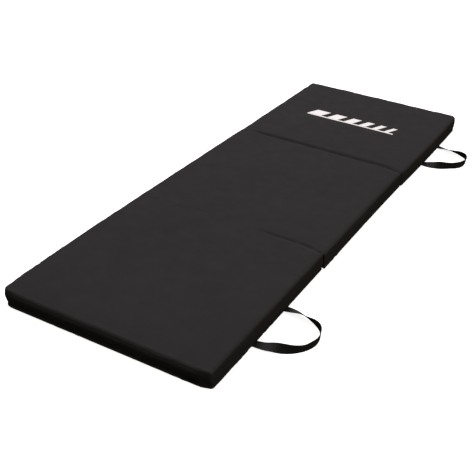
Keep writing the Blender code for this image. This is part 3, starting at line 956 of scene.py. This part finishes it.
def cover_look():
    """Near-black coated fabric: a soft sheen, fine grain, faint scuffs."""
    look = Look("cover_fabric", (0.026, 0.0248, 0.0254), 0.70, Specular_IOR_Level=0.03)
    cloud = look.noise(5.0, 5.0)
    share = look.spread(cloud, 0.3, 0.7, 0, 1)
    colour = look.blend(share, (0.0248, 0.0238, 0.0244), (0.0272, 0.0260, 0.0266))
    scuff = look.noise(60.0, 6.0, roughness=0.7)
    worn = look.spread(scuff, 0.62, 0.80, 0.0, 0.35)
    look.feed("Base Color", look.blend(worn, colour, (0.034, 0.033, 0.033)))
    rough = look.noise(24.0, 4.0)
    look.feed("Roughness", look.spread(rough, 0.3, 0.7, 0.66, 0.76))
    grain = look.node(
        "ShaderNodeTexVoronoi", {"Vector": look.place(), "Scale": 900.0}, feature="SMOOTH_F1"
    ).outputs["Distance"]
    fine = look.noise(2600.0, 2.0)
    soft = look.noise(220.0, 3.0)
    normal = look.bump(soft, 0.12 * MM, 0.5)
    normal = look.bump(grain, 0.06 * MM, 0.6, normal)
    normal = look.bump(fine, 0.02 * MM, 0.5, normal)
    look.feed("Normal", normal)
    return look.material


def webbing_look():
    """Black woven webbing."""
    look = Look("webbing", (0.0065, 0.0065, 0.0066), 0.74, Specular_IOR_Level=0.35)
    lay = look.node("ShaderNodeAttribute", attribute_name="lay").outputs["Vector"]
    parts = look.node("ShaderNodeSeparateXYZ", {"Vector": lay})
    height = look.weave(parts.outputs["X"], parts.outputs["Y"], 2.4 * MM, 1.25 * MM)
    fibre = look.noise(3000.0, 3.0)
    woven, fuzz = look.maths("MULTIPLY", height, 0.7), look.maths("MULTIPLY", fibre, 0.3)
    share = look.spread(look.maths("ADD", woven, fuzz), 0.1, 0.9, 0, 1)
    colour = look.blend(share, (0.0040, 0.0040, 0.0042), (0.0110, 0.0108, 0.0108))
    look.feed("Base Color", colour)
    normal = look.bump(height, 0.35 * MM, 0.8)
    look.feed("Normal", look.bump(fibre, 0.05 * MM, 0.5, normal))
    return look.material


def tape_look():
    """The zip's woven tape."""
    look = Look("zip_tape", (0.0075, 0.0075, 0.0078), 0.85, Specular_IOR_Level=0.3)
    lay = look.node("ShaderNodeAttribute", attribute_name="lay").outputs["Vector"]
    parts = look.node("ShaderNodeSeparateXYZ", {"Vector": lay})
    height = look.weave(parts.outputs["X"], parts.outputs["Y"], 0.9 * MM, 0.5 * MM)
    share = look.spread(height, 0, 1, 0, 1)
    look.feed("Base Color", look.blend(share, (0.0050, 0.0050, 0.0052), (0.0110, 0.0110, 0.0112)))
    look.feed("Normal", look.bump(height, 0.12 * MM, 0.7))
    return look.material


def thread_look():
    """Bonded black thread."""
    look = Look("sewing_thread", (0.012, 0.012, 0.012), 0.55)
    twist = look.noise(2400.0, 2.0)
    look.feed("Base Color", look.blend(twist, (0.009, 0.009, 0.009), (0.020, 0.019, 0.019)))
    look.feed("Normal", look.bump(twist, 0.05 * MM, 0.6))
    return look.material


def coil_look():
    """Black nylon."""
    look = Look("zip_coil", (0.010, 0.010, 0.010), 0.38)
    speck = look.noise(900.0, 2.0)
    look.feed("Roughness", look.spread(speck, 0.3, 0.7, 0.30, 0.46))
    look.feed("Base Color", look.blend(speck, (0.008, 0.008, 0.008), (0.014, 0.014, 0.014)))
    return look.material


def metal_look():
    """Black paint on die-cast metal, rubbed a little."""
    look = Look("zip_metal", (0.02, 0.02, 0.021), 0.34, Metallic=0.6)
    rub = look.noise(500.0, 5.0, roughness=0.7)
    worn = look.spread(rub, 0.60, 0.72, 0.0, 1.0)
    look.feed("Base Color", look.blend(worn, (0.018, 0.018, 0.019), (0.16, 0.16, 0.165)))
    look.feed("Roughness", look.spread(rub, 0.3, 0.7, 0.28, 0.42))
    look.feed("Normal", look.bump(rub, 0.03 * MM, 0.4))
    return look.material


def foam_look():
    """Open-cell foam."""
    look = Look("foam", (0.30, 0.30, 0.32), 0.95, Specular_IOR_Level=0.2)
    pores = look.node("ShaderNodeTexVoronoi", {"Vector": look.place(), "Scale": 700.0})
    tone = look.noise(30.0, 4.0)
    look.feed("Base Color", look.blend(tone, (0.27, 0.27, 0.29), (0.34, 0.34, 0.36)))
    look.feed("Normal", look.bump(pores.outputs["Distance"], 0.5 * MM, 0.8))
    return look.material


def print_look():
    """White transfer film."""
    look = Look("print_film", (0.86, 0.86, 0.85), 0.42)
    wear = look.noise(400.0, 5.0, roughness=0.7)
    worn = look.spread(wear, 0.66, 0.78, 0.0, 0.5)
    look.feed("Base Color", look.blend(worn, (0.88, 0.88, 0.875), (0.62, 0.62, 0.61)))
    look.feed("Roughness", look.spread(wear, 0.3, 0.7, 0.36, 0.50))
    look.feed("Normal", look.bump(look.noise(900.0, 2.0), 0.03 * MM, 0.5))
    return look.material


def floor_look():
    """A white studio floor that glows a little, so that it stays even and pale."""
    look = Look("studio_floor", (0.90, 0.90, 0.90), 0.85, Specular_IOR_Level=0.1)
    tone = look.noise(1.5, 3.0)
    look.feed("Base Color", look.blend(tone, (0.89, 0.89, 0.89), (0.92, 0.92, 0.92)))
    look.shader.inputs["Emission Color"].default_value = (1, 1, 1, 1)
    look.shader.inputs["Emission Strength"].default_value = 0.85
    look.material.cycles.emission_sampling = "NONE"
    return look.material


# ---------------------------------------------------------------------------------------------
# The stage
# ---------------------------------------------------------------------------------------------


def aim_camera():
    """The camera, rolled a little, at its distance from the point it looks at."""
    azimuth, elevation, roll = (
        math.radians(angle) for angle in (CAMERA_AZIMUTH, CAMERA_ELEVATION, CAMERA_ROLL)
    )
    back = Vector(
        (
            math.sin(azimuth) * math.cos(elevation),
            -math.cos(azimuth) * math.cos(elevation),
            math.sin(elevation),
        )
    )
    level = Vector((math.cos(azimuth), math.sin(azimuth), 0))
    rise = back.cross(level)
    right = level * math.cos(roll) + rise * math.sin(roll)
    up = back.cross(right)
    data = bpy.data.cameras.new("camera")
    data.lens = CAMERA_LENS
    data.sensor_width = 36
    data.clip_start = 0.01
    camera = bpy.data.objects.new("camera", data)
    bpy.context.scene.collection.objects.link(camera)
    place = Vector(CAMERA_TARGET) + back * CAMERA_DISTANCE
    turn = Matrix((right, up, back)).transposed().to_4x4()
    camera.matrix_world = Matrix.Translation(place) @ turn
    bpy.context.scene.camera = camera


def area_light(name, place, size, power, colour):
    """A rectangular lamp that faces the middle of the mat."""
    data = bpy.data.lights.new(name, "AREA")
    data.color = colour
    data.shape = "RECTANGLE"
    data.size, data.size_y = size
    data.energy = power
    lamp = bpy.data.objects.new(name, data)
    bpy.context.scene.collection.objects.link(lamp)
    lamp.location = place
    lamp.rotation_euler = (-Vector(place)).to_track_quat("-Z", "Y").to_euler()


def make_floor():
    """The studio floor, which doesn't light the mat."""
    corners = [(x, y, -0.4 * MM) for x, y in ((-30, -30), (30, -30), (30, 30), (-30, 30))]
    floor = mesh_object("studio_floor", corners, [(0, 1, 2, 3)], floor_look())
    floor.visible_diffuse = False
    floor.visible_glossy = False


def make_studio():
    """The lamps, and a soft light from above the horizon."""
    for name, lamp in LAMPS.items():
        area_light(name, *lamp)
    world = bpy.data.worlds.new("studio")
    world.use_nodes = True
    bpy.context.scene.world = world
    tree = world.node_tree
    sky = tree.nodes["Background"]
    where = tree.nodes.new("ShaderNodeTexCoord")
    parts = tree.nodes.new("ShaderNodeSeparateXYZ")
    tree.links.new(where.outputs["Generated"], parts.inputs["Vector"])
    ramp = tree.nodes.new("ShaderNodeValToRGB")
    for stop, position, colour in zip(ramp.color_ramp.elements, (0.48, 0.52), SKY_COLOURS):
        stop.position = position
        stop.color = colour
    halved = tree.nodes.new("ShaderNodeMapRange")
    halved.inputs[1].default_value = -1
    halved.inputs[2].default_value = 1
    tree.links.new(parts.outputs["Z"], halved.inputs["Value"])
    tree.links.new(halved.outputs["Result"], ramp.inputs["Fac"])
    tree.links.new(ramp.outputs["Color"], sky.inputs["Color"])
    sky.inputs["Strength"].default_value = SKY_STRENGTH
    bpy.context.scene.view_settings.view_transform = "Standard"


# ---------------------------------------------------------------------------------------------
# All of it
# ---------------------------------------------------------------------------------------------

LOOKS = {
    "cover": cover_look(),
    "webbing": webbing_look(),
    "tape": tape_look(),
    "thread": thread_look(),
    "coil": coil_look(),
    "metal": metal_look(),
    "foam": foam_look(),
    "print": print_look(),
}


def repaint(node, material, bevel):
    """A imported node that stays, in a better material and with its sharp edges eased."""
    obj = frame["nodes"][node]
    for slot in obj.material_slots:
        slot.material = material
    ease = obj.modifiers.new("eased_edges", "BEVEL")
    ease.width = bevel
    ease.segments = 2
    ease.limit_method = "ANGLE"


aim_camera()
make_floor()
make_studio()
for number, panel in enumerate(("near", "middle", "far")):
    make_cover(panel, 11 + 40 * number, LOOKS["cover"])
    make_zip(panel, LOOKS)
    make_foam(panel, LOOKS["foam"])
    repaint(f"{panel}_zip_slider", LOOKS["metal"], METAL_EDGE)
    repaint(f"{panel}_zip_pull", LOOKS["metal"], METAL_EDGE)
make_hinge("near", LOOKS["cover"])
make_hinge("far", LOOKS["cover"])
for panel in ("near", "far"):
    make_handle(panel, LOOKS["webbing"])
make_print(LOOKS["print"])
